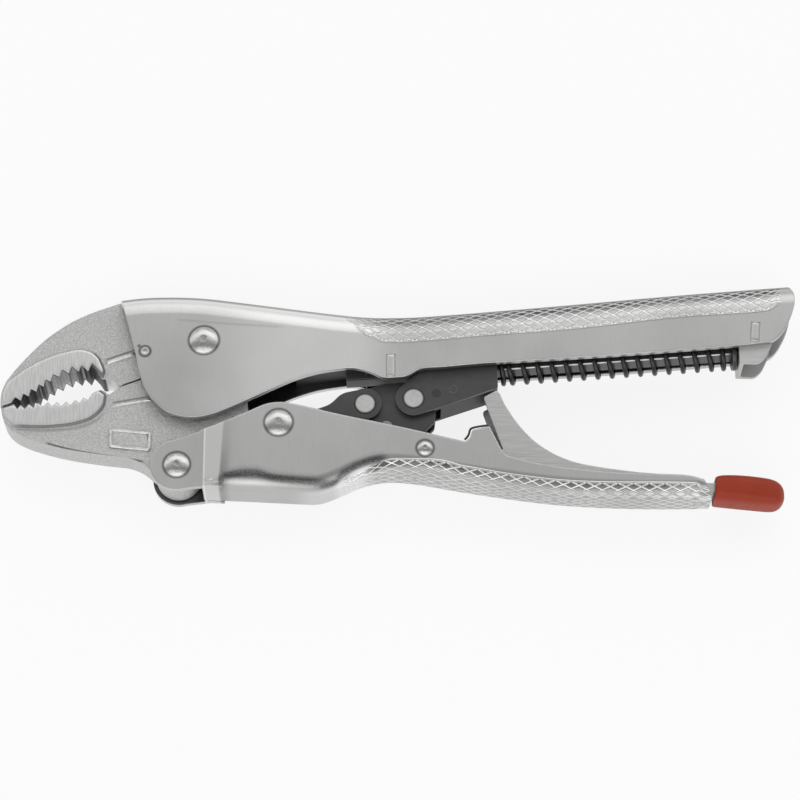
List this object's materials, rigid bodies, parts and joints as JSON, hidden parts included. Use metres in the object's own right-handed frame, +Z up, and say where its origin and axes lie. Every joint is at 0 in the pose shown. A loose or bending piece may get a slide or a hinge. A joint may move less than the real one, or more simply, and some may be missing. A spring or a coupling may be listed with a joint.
{
  "type": "self-adjusting locking pliers",
  "caption": "Locking pliers with pressed channel handles, a spring-loaded sliding toggle, serrated jaws and a red-sleeved release lever.",
  "frame": {"origin": "centre of the tool's outline, on the plane it lies on", "axes": "+X from jaws to handle ends, +Y from the lower handle to the fixed handle, +Z up along the rivets"},
  "size_m": [0.2538, 0.075, 0.0214],
  "materials": {
    "plated_steel": "nickel plated, satin",
    "forged_steel": "forged, ground pads",
    "rivet_steel": "bright domed heads",
    "pin_steel": "bright turned",
    "black_oxide": "blackened",
    "rod_steel": "bright drawn",
    "spring_steel": "oil tempered, dark",
    "bracket_steel": "zinc plated",
    "lever_steel": "plated, dull",
    "red_vinyl": "dipped vinyl, satin"
  },
  "bodies": {
    "fixed": {"fixed_handle": "plated_steel", "fixed_jaw": "forged_steel", "jaw_stake_pin": "rivet_steel", "jaw_rivet": "rivet_steel", "front_block": "black_oxide", "guide_rod": "rod_steel", "spring_seat": "rod_steel", "rear_bracket": "bracket_steel", "main_spring": "spring_steel"},
    "jaw": {"lower_jaw": "forged_steel"},
    "handle": {"lower_handle": "plated_steel", "ear_rivet": "rivet_steel", "link_rivet": "rivet_steel", "lever_rivet": "rivet_steel", "link_sleeve": "pin_steel", "link_washers": "pin_steel", "handle_spring": "spring_steel", "release_spring": "spring_steel", "trunnion_nut": "pin_steel"},
    "links": {"front_links": "black_oxide", "crank_pin": "pin_steel"},
    "slider": {"slider": "black_oxide", "slider_pin": "pin_steel", "pawl_pin": "pin_steel"},
    "crank": {"crank_plates": "black_oxide", "stop_bush": "pin_steel", "stop_pin": "pin_steel"},
    "pawl": {"brake_pawl": "black_oxide"},
    "lever": {"release_lever": "lever_steel", "lever_sleeve": "red_vinyl"},
    "screw": {"pressure_screw": "pin_steel"}
  },
  "joints": [
    {"name": "jaw_open", "type": "hinge", "parent": "fixed", "child": "jaw", "pos_m": [-0.0624, 0.01645, 0.0107], "axis": [0, 0, 1], "range_deg": [0, 28]},
    {"name": "handle_swing", "type": "hinge", "parent": "jaw", "child": "handle", "pos_m": [-0.0701, -0.02545, 0.0107], "axis": [0, 0, 1], "range_deg": [-38.3, 0]},
    {"name": "link_swing", "type": "hinge", "parent": "handle", "child": "links", "pos_m": [-0.0382, -0.01155, 0.0107], "axis": [0, 0, 1], "range_deg": [0, 27.6]},
    {"name": "slider_slide", "type": "slide", "parent": "fixed", "child": "slider", "axis": [0.9973, 0.0732, 0], "range_m": [0, 0.0198], "deforming": ["main_spring"]},
    {"name": "crank_swing", "type": "hinge", "parent": "slider", "child": "crank", "pos_m": [0.0045, -0.00215, 0.0107], "axis": [0, 0, 1], "range_deg": [-3.5, 0]},
    {"name": "pawl_tilt", "type": "hinge", "parent": "slider", "child": "pawl", "pos_m": [0.0172, 0.00095, 0.0107], "axis": [0, 0, 1], "range_deg": [-3, 3]},
    {"name": "release_press", "type": "hinge", "parent": "handle", "child": "lever", "pos_m": [0.0081, -0.02015, 0.0107], "axis": [0, 0, 1], "range_deg": [0, 3.5], "stiffness_Nm_per_rad": 1.5, "springref_deg": -5.73},
    {"name": "screw_turn", "type": "hinge", "parent": "handle", "child": "screw", "pos_m": [-0.0041, -0.01095, 0.0107], "axis": [0.9232, 0.3843, 0], "range_deg": [-360, 360]}
  ],
  "couplings": [
    {"joint": "handle_swing", "follows": "jaw_open", "ratio": -1.361},
    {"joint": "link_swing", "follows": "jaw_open", "ratio": 0.981},
    {"joint": "slider_slide", "follows": "jaw_open", "m_per_rad": 0.04029},
    {"joint": "crank_swing", "follows": "jaw_open", "ratio": -0.12}
  ]
}
